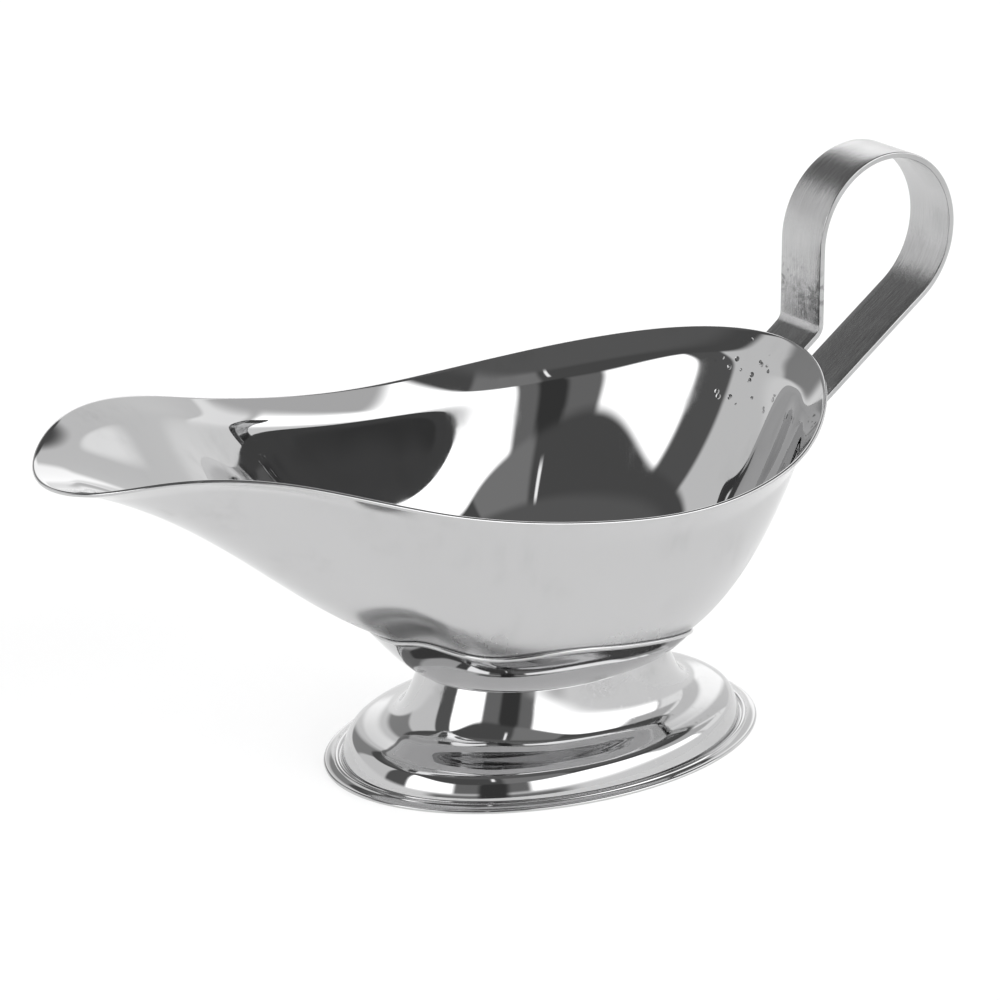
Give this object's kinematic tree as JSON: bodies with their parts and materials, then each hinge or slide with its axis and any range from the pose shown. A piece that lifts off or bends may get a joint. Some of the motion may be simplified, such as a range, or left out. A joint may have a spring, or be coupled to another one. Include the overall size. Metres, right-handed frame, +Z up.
{
  "type": "gravy boat",
  "caption": "Polished steel gravy boat: deep oval bowl with a long raised pouring spout, an oval pedestal foot and a looped flat strap handle at the back.",
  "frame": {"origin": "on the table plane under the middle of the overall length, on the mirror plane", "axes": "+Z up, spout towards -X, handle towards +X, Y across the bowl"},
  "size_m": [0.205, 0.0938, 0.1049],
  "materials": {
    "polished_steel": "mirror-polished stainless steel sheet with faint forming waves",
    "foot_steel": "buffed stainless steel, slightly hazed round the weld under the waist",
    "satin_steel": "satin stainless strap, brushed along its length, with handling smudges"
  },
  "bodies": {
    "root": {"bowl": "polished_steel", "collar": "foot_steel", "foot": "foot_steel", "handle": "satin_steel"}
  },
  "joints": []
}
